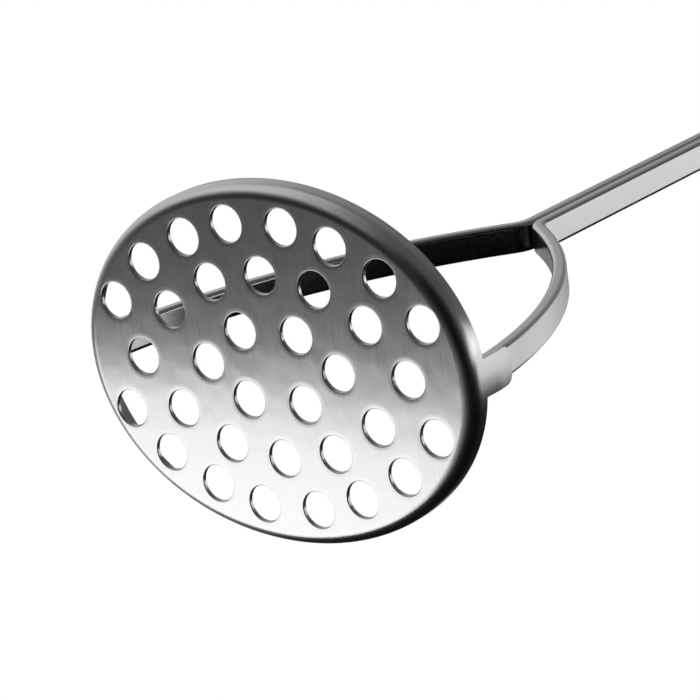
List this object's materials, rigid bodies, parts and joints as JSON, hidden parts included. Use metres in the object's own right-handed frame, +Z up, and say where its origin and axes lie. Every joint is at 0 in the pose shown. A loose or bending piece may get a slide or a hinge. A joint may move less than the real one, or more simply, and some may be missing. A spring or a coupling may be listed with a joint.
{
  "type": "potato masher",
  "caption": "Potato masher with an oval perforated pressing plate in a low upright skirt, carried by flat strips that arc together into a straight handle with a hanging eye.",
  "frame": {"origin": "middle of the mash face, where the masher stands on a table", "axes": "+Z up along the handle towards the hanging eye, X along the oval plate's long axis and in the plane of the strips' bends, Y across the plate"},
  "size_m": [0.1, 0.078, 0.275],
  "materials": {
    "plate_steel": "satin brushed across the short axis",
    "strip_steel": "satin brushed along the strip",
    "weld_steel": "fused steel, hidden between the faces that it joins"
  },
  "bodies": {
    "root": {"masher_plate": "plate_steel", "right_bar": "strip_steel", "left_bar": "strip_steel", "ear_spot_welds": "weld_steel", "handle_spot_welds": "weld_steel"}
  },
  "joints": []
}
